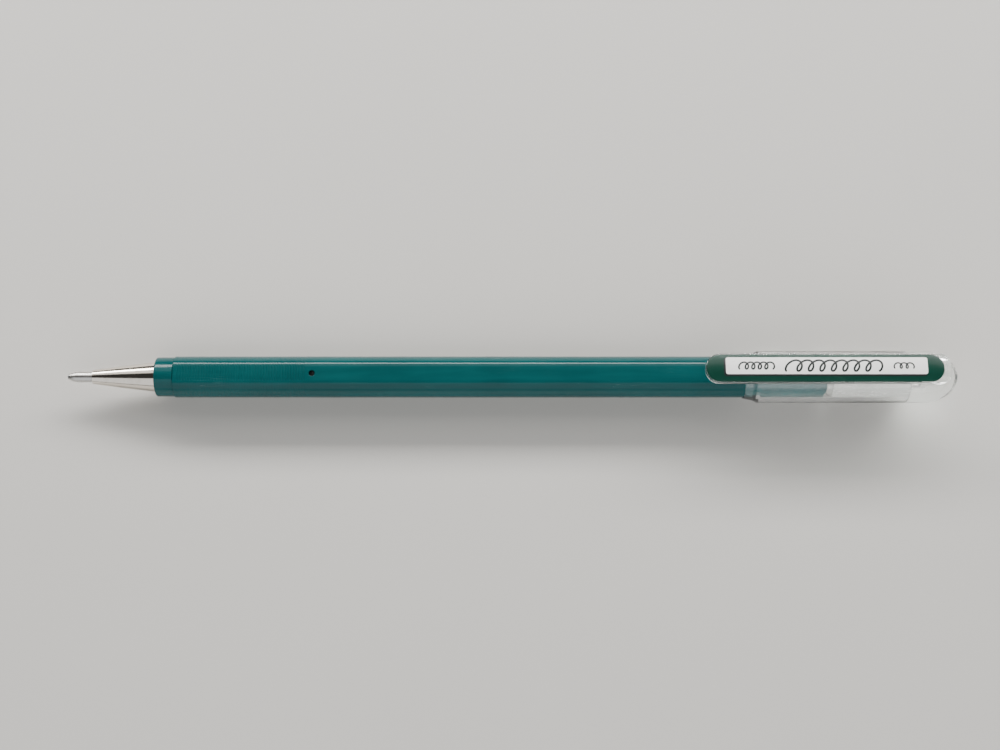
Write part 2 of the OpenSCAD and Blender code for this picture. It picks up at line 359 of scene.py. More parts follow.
def hole_ring(rim_points, reach, up=None):
    """A ring between a window's rim and the hole: reach 0 is the rim, 1 is the hole's edge.
    With no height given, the ring lies on the round bore."""
    centre = np.array([vent_at, 0, 0])
    flat_part = (rim_points - centre)[:, :2]
    circle = flat_part / np.linalg.norm(flat_part, axis=1, keepdims=True) * vent_r
    place = flat_part * (1 - reach) + circle * reach
    z = up if up is not None else np.sqrt(np.maximum(bore_r ** 2 - place[:, 1] ** 2, 0))
    return np.stack([vent_at + place[:, 0], place[:, 1], np.broadcast_to(z, len(place))], axis=1)


outside, inside = barrel_points[outer_rim], barrel_points[inner_rim]
rings = [hole_ring(outside, 0.5, flat_height), hole_ring(outside, 0.86, flat_height),
         hole_ring(outside, 0.95, flat_height - 0.015), hole_ring(outside, 1.0, flat_height - 0.06),
         hole_ring(inside, 1.0), hole_ring(inside, 0.5)]
patch_start = len(barrel_points)
ring_ids = [outer_rim] + [patch_start + k * len(outer_rim) + np.arange(len(outer_rim))
                          for k in range(len(rings))] + [inner_rim]
patch = [np.stack([a, np.roll(a, -1), np.roll(b, -1), b], axis=1)
         for a, b in zip(ring_ids, ring_ids[1:])]
make_piece("barrel_tube", np.concatenate([barrel_points] + rings),
           np.concatenate([face_grid[keep]] + patch), "barrel", "teal_plastic", replaces=["barrel"])

# %% [markdown]
# ## The tail plug, the nose cone and the point
# These are all turned, so a profile with rounded corners is enough. The nose cone's side has a
# slight swell, and its thin front edge is rounded. The point is a straight shank with a long
# rounded nose, rolled over the ball at the front, and a ball that shows as a small cap.

# %% Tail plug
plug_start, plug_end = span("tail_plug")
plug_r = half_width("tail_plug")
turned_piece("tail_cap", rounded(
    [(plug_start, 0), (plug_start, bore_r - 0.01), (barrel_end, bore_r - 0.01), (barrel_end, plug_r),
     (plug_end, plug_r), (plug_end, 1.3), (plug_end - 0.15, 1.1), (plug_end - 0.15, 0)],
    [0, 0.3, 0, 0.03, 0.28, 0.05, 0.05, 0]), "barrel", "teal_plastic", replaces=["tail_plug"])

# %% Nose cone
cone_start, stub_end = span("nose_cone")
flange_r = half_width("nose_cone")
cone_front_r, cone_back_r, stub_r = 1.27, 2.75, 2.74
throat_r, throat_end, stub_bore_r = 1.04, 7.0, 2.2
rim_round, cone_swell = 0.04, 0.05
swell = np.linspace(0, 1, 25)
cone_side = np.stack([cone_start + 0.05 + (collar_start - cone_start - 0.05) * swell,
                      cone_front_r + 0.03 + (cone_back_r - cone_front_r - 0.03) * swell
                      + cone_swell * np.sin(np.pi * swell)], axis=1)
cone_profile = np.concatenate([
    [(cone_start + 0.02, throat_r + 0.01)],
    arc((cone_start + rim_round, cone_front_r - rim_round), rim_round, 180, 100, 5), cone_side,
    [(collar_start + 0.02, cone_back_r + 0.02), (collar_start + 0.03, flange_r - 0.03),
     (collar_start + 0.06, flange_r), (recess_end, flange_r), (recess_end, stub_r),
     (stub_end - 0.1, stub_r), (stub_end, stub_r - 0.1), (stub_end, stub_bore_r + 0.05),
     (recess_end, stub_bore_r), (throat_end, throat_r)]])
turned_piece("nose_cone_plated", cone_profile, "nose_cone", "nickel_plate", segments=160,
             closed_loop=True, replaces=["nose_cone"])

# %% Point and ball
shank_r = half_width("point_shank")
shank_end = span("point_shank")[1]
ball_r = half_width("writing_ball")
lip_at, lip_r, nose_end = 0.25, 0.5, 1.95
ink_channel_r, ink_channel_end, spring_bore_r = 0.3, 2.2, 0.62
nose = np.linspace(0, 1, 20)
nose_side = np.stack([lip_at + 0.02 + (nose_end - lip_at - 0.02) * nose,
                      lip_r + 0.02 + (shank_r - lip_r - 0.02) * np.sin(nose * np.pi / 2)], axis=1)
socket_r = ball_r + 0.03
socket = arc((ball_r, 0), socket_r, 35, 118, 12)
shank_profile = np.concatenate([
    socket[-1:] + [[0, 0.0]], [(lip_at, lip_r - 0.01)], nose_side,
    [(shank_end - 0.1, shank_r), (shank_end, shank_r - 0.1), (shank_end, spring_bore_r),
     (ink_channel_end, spring_bore_r), (ink_channel_end, ink_channel_r)], socket[:-1]])
turned_piece("point_steel", shank_profile, "refill", "point_steel", closed_loop=True,
             replaces=["point_shank"])
ball_profile = arc((ball_r, 0), ball_r, 180, 0, 33)
ball_profile[[0, -1], 1] = 0
turned_piece("rolling_ball", ball_profile, "writing_ball", "ball_carbide", segments=48,
             replaces=["writing_ball"])

# %% [markdown]
# ## The cap
# The cap is one clear moulding: a thin lip at the mouth, a shoulder, a straight wall and an
# egg-shaped end with a narrow blind pocket where the point hides. Inside it sits a milky sleeve
# with a tapered mouth, which seals on the barrel's collar when the cap is on the point's end.

# %% Cap shell
dome = np.radians(np.linspace(0, 90, 40))
dome_side = np.stack([dome_at + dome_len * np.sin(dome), cap_r * np.cos(dome)], axis=1)
pocket_r, pocket_end = 1.6, 157.2
lip_r_front, lip_r_back, lip_end, shoulder_end = 4.0, 4.28, cap_mouth + 1.6, cap_mouth + 2.6
outer_wall = rounded([(cap_mouth + 0.04, cap_bore_r + 0.01), (cap_mouth, cap_bore_r + 0.05),
                      (cap_mouth, lip_r_front), (lip_end, lip_r_back), (shoulder_end, cap_r),
                      (dome_at, cap_r)], [0, 0.02, 0.06, 0.5, 0.7, 0], steps=7)
pocket_dome = pocket_r * 0.6
pocket_side = arc((0, 0), 1, 0, 90, 12) * [pocket_dome, pocket_r] + [pocket_end - pocket_dome, 0]
pocket_side[0, 1] = 0
inner_wall = rounded([pocket_side[-1], (sleeve_end, pocket_r), (sleeve_end, cap_bore_r),
                      (cap_mouth + 0.3, cap_bore_r), (cap_mouth + 0.04, cap_bore_r + 0.01)],
                     [0, 0.25, 0.25, 0.1, 0], steps=5)
dome_side[-1, 1] = 0
cap_profile = np.concatenate([outer_wall[:-1], dome_side, pocket_side, inner_wall[1:]])
turned_piece("cap_clear", cap_profile, "cap", "clear_plastic", segments=160, replaces=["cap_shell"])

# %% Sealing sleeve
sleeve_r, sleeve_bore_r, lead = half_width("cap_sleeve"), 3.0, 2.9
sleeve_profile = rounded([
    (sleeve_start, 3.7), (sleeve_start, sleeve_r - 0.02), (sleeve_start + 0.4, sleeve_r),
    (sleeve_end, sleeve_r), (sleeve_end, sleeve_bore_r), (sleeve_start + lead, sleeve_bore_r),
    (sleeve_start + 0.05, 3.62), (sleeve_start, 3.7)], [0, 0.03, 0.05, 0.15, 0.15, 1.2, 0.03, 0])
turned_piece("seal_sleeve", sleeve_profile[:-1], "cap", "sleeve_plastic", closed_loop=True,
             replaces=["cap_sleeve"])

# %% [markdown]
# ## The clip and its badge
# The clip is a clear plate with half-round ends. Its outline is a stadium: two half circles
# joined by straight sides. Each row of the grid is an outline with its own two centres and
# radius, and shrinking the radius to nothing closes the surface along the middle line. The
# underside's height is a formula over the plate: flat along the arm, a small round nub near
# the free end, and a foot that comes down on the cap with a rounded corner.

# %% Stadium outlines


def stadium_turns(straight):
    """One trip round a stadium: share along the straight part, and the outward direction."""
    bow = np.radians(np.linspace(-90, 90, 33))[1:-1]
    share = np.concatenate([straight, np.ones_like(bow), straight[::-1], np.zeros_like(bow)])
    out_s = np.concatenate([0 * straight, np.cos(bow), 0 * straight, -np.cos(bow)])
    out_y = np.concatenate([0 * straight - 1, np.sin(bow), 0 * straight + 1, -np.sin(bow)])
    return share, out_s, out_y


def stadium_rows(start, end, radius, inset, straight):
    """Grid of (along, side): row k is the outline from start to end shrunk by inset[k]."""
    share, out_s, out_y = stadium_turns(straight)
    start, end, radius, inset = (np.atleast_1d(v)[:, None] for v in (start, end, radius, inset))
    left_centre, right_centre = start + radius, end - radius
    reach = np.maximum(radius - inset, 0)
    s = left_centre + (right_centre - left_centre) * share + reach * out_s
    return s, reach * out_y


print("a stadium with 10 points a side has", len(stadium_turns(np.linspace(0, 1, 10))[0]), "points")

# %% Heights of the clip
root_start = 154.8
crown_len, crown_end = 2.4, 3.9
nub_at, nub_r, nub_depth = clip_start + 2.6, 1.3, 0.9


def cap_height(s, y):
    """Height of the cap's outside above the axis at a place in plan."""
    dome_share = np.clip((s - dome_at) / dome_len, 0, 0.995)
    r = cap_r * np.sqrt(1 - dome_share ** 2)
    return np.sqrt(np.maximum(r ** 2 - y ** 2, 0.01))


def clip_floor(s, y):
    """Underside of the clip: the arm, less the nub, and the foot on the cap."""
    from_nub = np.hypot(s - nub_at, y)
    nub = nub_depth * np.clip(1 - (from_nub / nub_r) ** 2, 0, 1) ** 0.7
    foot = smooth_step(s, root_start - 0.9, root_start + 0.25)
    return (clip_under - nub) * (1 - foot) + (cap_height(s, y) + 0.04) * foot


def clip_roof(s):
    """Top of the clip: level along the rim, then a quarter ellipse down to the cap's end."""
    t = np.clip((s - (clip_end - crown_len)) / crown_len, 0, 1)
    return crown_end + (clip_top - crown_end) * np.sqrt(1 - t ** 2)


clip_gap = clip_under - cap_r
print(f"gap under the clip {clip_gap:.2f} mm, and {clip_gap - nub_depth:.2f} mm at its nub")

# %% [markdown]
# One closed grid covers the whole arm. Its rows start on the underside's middle line, go out to
# the edge and up the side, come in over the rim, drop into the badge's pocket and close on the
# pocket's middle line. Small quarter circles at the bottom and top edges catch the light.


# %% Clip arm
straight = np.concatenate([np.linspace(0, 0.09, 16)[:-1], np.linspace(0.09, 0.87, 30)[:-1],
                           np.linspace(0.87, 1, 40)])
fillet = np.radians(np.linspace(0, 90, 6))
lower_round, upper_round, floor_rows, rim_rows = 0.25, 0.09, 12, 8
floor_inset = np.concatenate([clip_r * np.linspace(1, 0.12, floor_rows),
                              lower_round * (1 - np.sin(fillet))])
floor_rise = np.concatenate([np.zeros(floor_rows), lower_round * (1 - np.cos(fillet))])
side_share = np.linspace(0, 1, 7)[1:]
roof_inset = np.concatenate([upper_round * (1 - np.cos(fillet)), np.full(rim_rows, upper_round)])
roof_fall = np.concatenate([upper_round * (1 - np.sin(fillet)), np.zeros(rim_rows)])
to_pocket = np.concatenate([np.zeros(len(fillet)), np.linspace(0, 1, rim_rows + 1)[1:]])
pocket_gap = 0.012
pocket_radius = badge_r + pocket_gap
pocket_floor = badge_low - pocket_gap

s, y = stadium_rows(clip_start, clip_end, clip_r, floor_inset, straight)
floor_grid = np.stack([s, y, clip_floor(s, y) + floor_rise[:, None]], axis=-1)
edge_s, edge_y = s[-1:], y[-1:]
low_z, high_z = floor_grid[-1:, :, 2], clip_roof(edge_s) - upper_round
side_grid = np.stack(np.broadcast_arrays(edge_s, edge_y, low_z + (high_z - low_z) * side_share[:, None]),
                     axis=-1)
rim_s, rim_y = stadium_rows(clip_start, clip_end, clip_r, roof_inset, straight)
pocket_from, pocket_to = badge_start - pocket_gap, badge_end + pocket_gap
hole_s, hole_y = stadium_rows(pocket_from, pocket_to, pocket_radius, 0, straight)
s = rim_s * (1 - to_pocket[:, None]) + hole_s * to_pocket[:, None]
y = rim_y * (1 - to_pocket[:, None]) + hole_y * to_pocket[:, None]
roof_grid = np.stack([s, y, clip_roof(s) - roof_fall[:, None]], axis=-1)
wall_z = np.linspace(clip_top, pocket_floor, 5)[1:, None]
wall_grid = np.stack(np.broadcast_arrays(hole_s, hole_y, wall_z), axis=-1)
pocket_inset = pocket_radius * np.linspace(0, 1, 6)[1:]
s, y = stadium_rows(pocket_from, pocket_to, pocket_radius, pocket_inset, straight)
base_grid = np.stack(np.broadcast_arrays(s, y, pocket_floor), axis=-1)
clip_grid = np.concatenate([floor_grid, side_grid, roof_grid[1:], wall_grid, base_grid])
grid_piece("clip_clear", clip_grid, "clip", "clear_plastic", crease=50, replaces=["clip_arm"])

# %% Badge
badge_edge = clip_top - 0.15
badge_rise = badge_top - badge_edge
badge_curve = (badge_r ** 2 + badge_rise ** 2) / (2 * badge_rise)


def badge_height(s, y):
    """Domed top of the badge: a circle's arc over the distance from the badge's middle line."""
    middle = np.clip(s, badge_start + badge_r, badge_end - badge_r)
    off = np.hypot(s - middle, y)
    return badge_top - badge_curve + np.sqrt(np.maximum(badge_curve ** 2 - off ** 2, 0))


badge_fillet = 0.12
even = np.linspace(0, 1, 90)
base_inset = badge_r * np.linspace(1, 0, 5)
s, y = stadium_rows(badge_start, badge_end, badge_r, base_inset, even)
under_grid = np.stack(np.broadcast_arrays(s, y, badge_low), axis=-1)
top_inset = np.concatenate([badge_fillet * (1 - np.cos(fillet)), badge_r * np.linspace(0.08, 1, 18)])
top_drop = np.concatenate([badge_fillet * (1 - np.sin(fillet)), np.zeros(18)])
s, y = stadium_rows(badge_start, badge_end, badge_r, top_inset, even)
top_grid = np.stack([s, y, badge_height(s, y) - top_drop[:, None]], axis=-1)
badge_grid = np.concatenate([under_grid, top_grid])
grid_piece("badge_domed", badge_grid, "clip", "badge_plastic", replaces=["clip_badge"])

# %% [markdown]
# ## The print on the badge
# A light banner with a dark shadow behind it is printed on the badge. Ink has hardly any
# thickness, but a real layer keeps its edge crisp from every side, so each colour is a thin
# plate bent over the dome. The banner carries plain pen loops in place of words.

# %% Banner plates


def banner_outline(start, end, low, high, corner, count=24):
    """A rounded box in plan, corner by corner, as (along, side) points in one direction."""
    turn = np.radians(np.linspace(0, 90, 9))
    places = []
    for centre, first in (((end - corner, high - corner), 0), ((start + corner, high - corner), 90),
                          ((start + corner, low + corner), 180), ((end - corner, low + corner), 270)):
        swing = turn + math.radians(first)
        places.append(np.stack([centre[0] + corner * np.cos(swing),
                                centre[1] + corner * np.sin(swing)], axis=1))
    ends = [np.roll(places, -1, axis=0)[k][0] for k in range(4)]
    step = np.linspace(0, 1, count)[1:-1, None]
    return np.concatenate([np.concatenate([p, p[-1] + (e - p[-1]) * step]) for p, e in zip(places, ends)])


def printed_plate(name, edge, slot, lift, thickness=0.012, shrink=np.linspace(0, 1, 12)):
    """A thin closed plate over an outline, bent to the badge: each row is the outline pulled
    towards its middle line, and each height is the badge's own plus the lift."""
    low, high = edge.min(axis=0), edge.max(axis=0)
    half = (high[1] - low[1]) / 2
    middle = np.stack([np.clip(edge[:, 0], low[0] + half, high[0] - half),
                       np.full(len(edge), (low[1] + high[1]) / 2)], axis=1)
    plan = middle + (edge - middle) * shrink[:, None, None]
    up = badge_height(plan[..., 0], plan[..., 1])[..., None] + lift
    under = np.concatenate([plan, up], axis=-1)
    over = np.concatenate([plan, up + thickness], axis=-1)[::-1]
    grid_piece(name, np.concatenate([under, over]), "clip", slot)


banner_start, banner_end = badge_start + 3.4, badge_end - 3.1
banner_low, banner_high = -1.15, 1.95
shadow_off = 0.38
printed_plate("banner_shadow",
              banner_outline(banner_start - shadow_off, banner_end - 0.1,
                             banner_low - shadow_off, banner_high - 0.1, 0.5),
              "badge_print_dark", 0.006)
printed_plate("banner_light",
              banner_outline(banner_start, banner_end, banner_low, banner_high, 0.4),
              "badge_print_light", 0.02)

# %% Pen loops on the banner


def ink_line(name, path, width, lift=0.034, thickness=0.012):
    """A flat ribbon along a plan path: both edges lie half a width off the path, square to it."""
    step = np.gradient(path, axis=0)
    across = np.stack([-step[:, 1], step[:, 0]], axis=1) / np.linalg.norm(step, axis=1, keepdims=True)
    sides = [path - across * width / 2, path + across * width / 2]
    up = [badge_height(p[:, 0], p[:, 1])[:, None] + lift for p in sides]
    low = [np.concatenate([side, height_there], axis=1) for side, height_there in zip(sides, up)]
    high = [corner + [0, 0, thickness] for corner in low]
    grid = np.stack([low[0], low[1], high[1], high[0]], axis=1)
    ends = np.arange(4) + 4 * np.array([[0], [len(path) - 1]])
    faces = np.concatenate([grid_faces(*grid.shape[:2]).reshape(-1, 4), ends])
    make_piece(name, grid.reshape(-1, 3), faces, "clip", "badge_print_dark", crease=60)


def loops(start, end, count, tall, slant, middle, points_per_loop=22, roll=0.42):
    """Handwriting loops: a circle that rolls along, leant over by slant."""
    t = np.linspace(0, 2 * np.pi * count, points_per_loop * count)
    rise = -tall / 2 * np.cos(t)
    s = start + (end - start) * t / t[-1] - roll * tall * np.sin(t) + slant * rise
    return np.stack([s, middle + rise], axis=1)


banner_middle = (banner_low + banner_high) / 2
small = loops(banner_start + 2.6, banner_start + 8.4, 5, 1.25, 0.15, banner_middle)
large = loops(banner_start + 11.2, banner_start + 27.6, 8, 2.0, 0.35, banner_middle)
at_end = loops(banner_start + 30.2, banner_start + 33.4, 3, 1.0, 0.0, banner_middle)
ink_line("small_loops", small, 0.3)
ink_line("large_loops", large, 0.36)
ink_line("end_loops", at_end, 0.26)

# %% [markdown]
# ## Finishes
# Each finish is a small network of shader nodes. Wiring nodes one by one hides the idea, so a
# Field stands for one value that varies over a surface, and ordinary arithmetic on Fields makes
# the Math nodes. One method makes every other kind of node. Textures read Object coordinates,
# in metres, so their sizes are given in millimetres and turned into scales in one place.

# %% Shader arithmetic


class Field:
    """One value that varies over a surface: an output socket of a shader node, with arithmetic."""

    def __init__(self, graph, socket):
        self.graph = graph
        self.socket = socket

    def __add__(self, other):
        return self.graph.calc("ADD", self, other)

    def __radd__(self, other):
        return self.graph.calc("ADD", other, self)

    def __sub__(self, other):
        return self.graph.calc("SUBTRACT", self, other)

    def __rsub__(self, other):
        return self.graph.calc("SUBTRACT", other, self)

    def __mul__(self, other):
        return self.graph.calc("MULTIPLY", self, other)

    def __rmul__(self, other):
        return self.graph.calc("MULTIPLY", other, self)

    def __truediv__(self, other):
        return self.graph.calc("DIVIDE", self, other)

    def __rtruediv__(self, other):
        return self.graph.calc("DIVIDE", other, self)

    def __abs__(self):
        return self.graph.calc("ABSOLUTE", self)

    def between(self, low, high):
        """0 where the value is below low, 1 above high, and a smooth step between."""
        return self.graph.node("MapRange", {"interpolation_type": "SMOOTHSTEP"},
                               {"Value": self, "From Min": low, "From Max": high})


print("arithmetic on fields is ready")

# %% [markdown]
# The network itself has one method that makes any node, and a few short names for what nearly
# every finish needs. Hairlines deserve a word: a fine line is where a stretched noise crosses its
# middle value, which is cheaper than drawing scratches and never repeats.

# %% A material's network


class Graph:
    """The node network of one material, which ends in one surface shader."""

    def __init__(self, name):
        self.material = bpy.data.materials.new(name)
        self.material.use_nodes = True
        self.tree = self.material.node_tree
        self.tree.nodes.clear()
        self.place = self.node("TexCoord", out="Object")

    def node(self, kind, settings=None, inputs=None, out=0):
        """Make one node: its settings first, then each socket from a value or another node."""
        made = self.tree.nodes.new("ShaderNode" + kind)
        for name, value in (settings or {}).items():
            setattr(made, name, value)
        for name, value in (inputs or {}).items():
            socket = self.pick(made.inputs, name)
            if isinstance(value, Field):
                self.tree.links.new(value.socket, socket)
            else:
                socket.default_value = value
        return Field(self, self.pick(made.outputs, out))

    @staticmethod
    def pick(sockets, name):
        """A socket by number, or the one of that name that is in use."""
        if isinstance(name, int):
            return [s for s in sockets if s.enabled][name]
        return next(s for s in sockets if s.name == name and s.enabled)

    def calc(self, operation, *values):
        """One Math node on numbers or Fields."""
        return self.node("Math", {"operation": operation}, dict(enumerate(values)))

    def mix(self, share, first, second):
        """A colour that goes from first to second as share goes from 0 to 1."""
        return self.node("Mix", {"data_type": "RGBA"}, {"Factor": share, "A": first, "B": second})

    def noise(self, size, detail=3.0, roughness=0.5, stretch=(1, 1, 1), shift=0.0, warp=0.0):
        """Soft random values about 0.5 whose patches are size millimetres, times stretch each way."""
        scale = [1 / (size * MM * s) for s in stretch]
        point = self.node("Mapping", None, {"Vector": self.place, "Scale": scale,
                                            "Location": [shift] * 3})
        return self.node("TexNoise", None, {"Vector": point, "Scale": 1.0, "Detail": detail,
                                            "Roughness": roughness, "Distortion": warp})

    def hairlines(self, size, stretch, width, cover, shift=0.0):
        """Thin lines: where a stretched noise crosses its middle value, kept in scattered patches.
        The line's value is 1 at the crossing and falls to 0 as the noise leaves it by width."""
        patch_size, patch_edge = 14, 0.62
        wave = self.noise(size, detail=1.0, stretch=stretch, shift=shift)
        patch = self.noise(size * patch_size, detail=2.0, stretch=(3, 1, 1), shift=shift + 7)
        line = 1 - abs(wave - 0.5) / width
        scattered = patch.between(patch_edge - cover, patch_edge + 0.1 - cover)
        return self.calc("MAXIMUM", line, 0.0) * scattered

    def bump(self, height, depth):
        """A normal that follows a height of 0 to 1, depth millimetres deep."""
        return self.node("Bump", None, {"Strength": 1.0, "Distance": depth * MM, "Height": height})

    def plastic(self, inputs):
        """A Principled shader. Numbers are set on its own sockets, and fields are linked to them."""
        return self.node("BsdfPrincipled", None, inputs)

    def finish(self, surface):
        """Send a shader to the output, and give back the material."""
        end = self.tree.nodes.new("ShaderNodeOutputMaterial")
        self.tree.links.new(surface.socket, end.inputs["Surface"])
        print(f"finish {self.material.name}: {len(self.tree.nodes)} nodes")
        return self.material


print("a network starts from Object coordinates, in metres")

# %% [markdown]
# ### The coloured plastics
# The barrel is a glossy deep teal. Up close a moulding is never one colour: pigment streaks run
# the way the melt flowed, the skin has a faint ripple, and use leaves hairlines along the barrel
# and duller patches where it is held. The badge has the same kind of plastic in dark green, and
# its clear lacquer is the Principled shader's coat.

# %% Teal and green plastic


def coloured_plastic(name, deep, light, gloss, scratch_way, shine, coat=0.0):
    """Pigmented gloss plastic with flow streaks, a rippled skin, hairlines and dull patches."""
    g = Graph(name)
    streaks = g.noise(1.6, detail=5, stretch=(9, 1, 1), warp=0.4)
    clouds = g.noise(11, detail=3, shift=3)
    specks = g.noise(0.16, detail=2, shift=5).between(0.62, 0.78)
    scratches = g.hairlines(0.5, scratch_way, 0.02, 0.1)
    fine = g.hairlines(0.22, scratch_way, 0.03, 0.04, shift=11)
    held = g.noise(5, detail=6, roughness=0.62, shift=2).between(0.48, 0.74)
    share = (streaks * 0.55 + clouds * 0.45).between(0.34, 0.66)
    colour = g.mix(share, deep, light)
    dust = (0.14, 0.22, 0.22, 1)
    dusty = g.mix(specks * 0.05 + (scratches + fine) * 0.08, colour, dust)
    rough = gloss + held * 0.07 + scratches * 0.16 + fine * 0.1
    ripple = g.noise(0.9, detail=2, shift=9) * 0.7 + g.noise(0.12, detail=2, shift=4) * 0.08
    normal = g.bump(ripple - scratches * 0.22 - fine * 0.1, 0.006)
    return g.finish(g.plastic({
        "Base Color": dusty, "Roughness": rough, "IOR": 1.5, "Specular IOR Level": shine,
        "Normal": normal, "Coat Weight": coat, "Coat Roughness": 0.12}))


teal_plastic = coloured_plastic(
    "teal_gloss_plastic", (0.000, 0.051, 0.054, 1), (0.000, 0.064, 0.067, 1),
    0.15, scratch_way=(26, 1, 1), shine=0.3)
badge_plastic = coloured_plastic(
    "green_badge_plastic", (0.001, 0.030, 0.019, 1), (0.002, 0.040, 0.026, 1),
    0.3, scratch_way=(9, 1, 1), shine=0.45, coat=0.2)

# %% [markdown]
# ### The metals
# Turned parts carry rings from the cutting tool. A noise that changes only along the pen gives
# rings, because every point round the part reads the same value. The nose cone is polished and
# plated, so its rings are very faint, and its wear shows as small dull nicks.

# %% Nickel, steel and carbide


def turned_metal(name, tint, dull, gloss, ring, ring_depth):
    """Metal with tool rings along its axis, faint stains and scattered nicks."""
    g = Graph(name)
    close_rings = g.noise(ring, detail=3, stretch=(1, 400, 400))
    wide_rings = g.noise(ring * 5, detail=2, stretch=(1, 300, 300), shift=5)
    rings = close_rings * 0.6 + wide_rings * 0.4
    stains = g.noise(2.2, detail=5, roughness=0.6, shift=1).between(0.45, 0.8)
    nicks = g.noise(0.14, detail=2, stretch=(1, 3, 3), shift=8).between(0.7, 0.78)
    wipes = g.hairlines(0.3, (14, 1, 1), 0.025, 0.08, shift=6)
    colour = g.mix(stains * 0.5 + nicks * 0.3, tint, dull)
    rough = gloss + stains * 0.07 + nicks * 0.22 + wipes * 0.12 + rings * gloss * 0.35
    normal = g.bump(rings - nicks * 0.8 - wipes * 0.3, ring_depth)
    return g.finish(g.plastic({"Base Color": colour, "Metallic": 1.0, "Roughness": rough,
                               "Normal": normal}))


nickel = turned_metal("polished_nickel", (0.80, 0.74, 0.66, 1), (0.58, 0.52, 0.44, 1),
                      gloss=0.10, ring=0.06, ring_depth=0.0006)
steel = turned_metal("turned_steel", (0.60, 0.59, 0.57, 1), (0.38, 0.36, 0.34, 1),
                     gloss=0.24, ring=0.05, ring_depth=0.0015)
wire = turned_metal("spring_steel_wire", (0.52, 0.51, 0.49, 1), (0.30, 0.28, 0.26, 1),
                    gloss=0.3, ring=0.04, ring_depth=0.001)


def inked_ball():
    """Ground carbide with a fine pitted texture and a film of ink that thins out in patches."""
    g = Graph("carbide_ball")
    pits = g.noise(0.03, detail=3)
    film = g.noise(0.35, detail=4, shift=2).between(0.42, 0.62)
    colour = g.mix(film * 0.7, (0.42, 0.42, 0.44, 1), (0.03, 0.09, 0.10, 1))
    normal = g.bump(pits, 0.0008)
    return g.finish(g.plastic({"Base Color": colour, "Metallic": 0.85 - film * 0.5,
                               "Roughness": 0.24 + pits * 0.2, "Normal": normal}))


# %% [markdown]
# ### Clear and milky plastics
# The cap and the clip are clear, so they are glass shaders with the plastic's own index. A lamp's
# light can't find its way through refracting walls in a render of sensible length, so shadow rays
# see a plain tinted film in place of the glass, and what lies inside is lit. Handling marks are
# what make a clear part look real: hairlines, a few deeper scratches and greasy patches. The
# glass lets all but one part in a hundred through, and that part is scattered as a faint veil.

# %% Clear plastic


def clear_plastic():
    """Clear styrene: refraction, faint grey-green tint, hairlines, smudges and a soft ripple."""
    g = Graph("clear_styrene")
    scratches = g.hairlines(0.7, (12, 1, 1), 0.016, 0.1)
    fine = g.hairlines(0.3, (3, 1, 1), 0.02, 0.06, shift=13)
    smudge = g.noise(3.5, detail=6, roughness=0.65, shift=4).between(0.5, 0.78)
    colour = g.mix(g.noise(8, detail=3, shift=6), (0.95, 0.97, 0.965, 1), (0.985, 0.99, 0.985, 1))
    rough = 0.01 + smudge * 0.035 + scratches * 0.16 + fine * 0.1
    ripple = g.noise(3.5, detail=1, shift=5)
    normal = g.bump(ripple - scratches * 0.05 - fine * 0.03, 0.006)
    glass = g.plastic({"Base Color": colour, "Roughness": rough, "IOR": 1.53,
                       "Transmission Weight": 0.99, "Normal": normal})
    film = g.node("BsdfTransparent", None, {"Color": (0.93, 0.95, 0.94, 1)})
    lamp_ray = g.node("LightPath", out="Is Shadow Ray")
    return g.finish(g.node("MixShader", None, {"Fac": lamp_ray, 1: glass, 2: film}))


def milky_plastic(name, light, deep, through, gloss):
    """Half-clear moulding: part of the light goes through, blurred, and part is scattered back."""
    g = Graph(name)
    clouds = g.noise(2.4, detail=5, shift=2)
    grain = g.noise(0.14, detail=3, shift=7)
    marks = g.hairlines(0.4, (6, 1, 1), 0.03, 0.08)
    colour = g.mix(clouds.between(0.3, 0.7), light, deep)
    rough = gloss + clouds * 0.12 + marks * 0.15
    normal = g.bump(grain * 0.2 + clouds * 0.5 - marks * 0.3, 0.004)
    return g.finish(g.plastic({"Base Color": colour, "Roughness": rough, "IOR": 1.5,
                               "Transmission Weight": through, "Normal": normal}))


# %% [markdown]
# ### Ink, grease and print
# The gel and the grease fill the tube inside the barrel, so their swirls show only if the barrel
# is hidden. The prints are smooth coats under a thin lacquer. A print wears unevenly, so its
# colour is mixed with a rubbed one in patches, pinholes and hairlines.

# %% Liquids and printed inks


def thick_liquid(name, thin, thick, gloss, swirl):
    """Gel or grease: drawn-out swirls of depth, wet gloss, and a slow wave on the surface."""
    g = Graph(name)
    folds = g.noise(swirl, detail=5, stretch=(3, 1, 1), warp=1.2)
    beads = g.noise(swirl * 0.25, detail=2, shift=3).between(0.6, 0.75)
    colour = g.mix(folds.between(0.3, 0.7), thin, thick)
    normal = g.bump(folds + beads * 0.3, 0.03)
    return g.finish(g.plastic({"Base Color": colour, "Roughness": gloss + folds * 0.08,
                               "Normal": normal}))


def printed_ink(name, fresh, worn):
    """A printed coat: even ink with pinholes, rubbed thinner in patches, over a fine grain."""
    g = Graph(name)
    grain = g.noise(0.08, detail=3)
    rubbed = g.noise(1.4, detail=6, roughness=0.7, shift=5).between(0.52, 0.76)
    pinholes = g.noise(0.1, detail=1, shift=9).between(0.74, 0.8)
    marks = g.hairlines(0.35, (8, 1, 1), 0.025, 0.08, shift=3)
    colour = g.mix(rubbed * 0.35 + pinholes * 0.4 + marks * 0.25, fresh, worn)
    normal = g.bump(grain - marks * 0.5, 0.0015)
    return g.finish(g.plastic({"Base Color": colour, "Roughness": 0.3 + grain * 0.12 + rubbed * 0.1,
                               "Normal": normal, "Coat Weight": 0.35, "Coat Roughness": 0.12}))


